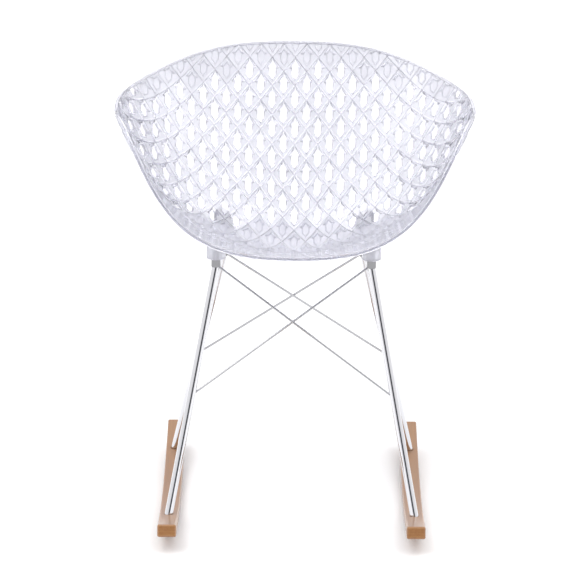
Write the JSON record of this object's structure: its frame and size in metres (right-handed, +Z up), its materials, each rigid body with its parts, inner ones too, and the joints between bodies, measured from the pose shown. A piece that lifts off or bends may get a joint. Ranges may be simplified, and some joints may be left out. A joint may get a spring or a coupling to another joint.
{
  "type": "rocking chair",
  "caption": "Rocking chair with a clear openwork tub seat on chromed legs braced by crossed rods and bent light-wood rockers.",
  "frame": {"origin": "on the floor, midway between the points where the two rockers touch it, at the middle of the chair's overall width and depth", "axes": "+Z up; the front of the chair faces -Y, so a sitter looks along -Y; +X is the chair's right side as seen from the front, and left means the -X side"},
  "size_m": [0.6121, 0.6288, 0.7716],
  "materials": {
    "clear_shell": "clear moulded plastic with a faint lavender-grey tint, polished",
    "chrome": "bright chromium plate on steel tube and rod",
    "light_wood": "pale laminated hardwood, thin satin lacquer, plies running the length of the rocker",
    "plain_steel": "turned steel, zinc plated",
    "pale_plastic": "natural translucent nylon"
  },
  "bodies": {
    "root": {"seat_shell": "clear_shell", "front_left_leg": "chrome", "front_right_leg": "chrome", "rear_left_leg": "chrome", "rear_right_leg": "chrome", "front_left_pin": "chrome", "front_right_pin": "chrome", "rear_left_pin": "chrome", "rear_right_pin": "chrome", "front_brace_from_left": "chrome", "front_brace_from_right": "chrome", "rear_brace_from_left": "chrome", "rear_brace_from_right": "chrome", "left_rocker": "light_wood", "right_rocker": "light_wood", "front_left_foot_plug": "plain_steel", "front_right_foot_plug": "plain_steel", "rear_left_foot_plug": "plain_steel", "rear_right_foot_plug": "plain_steel", "boss_bushes": "pale_plastic", "boss_set_screws": "plain_steel", "rocker_screws": "plain_steel"}
  },
  "joints": []
}
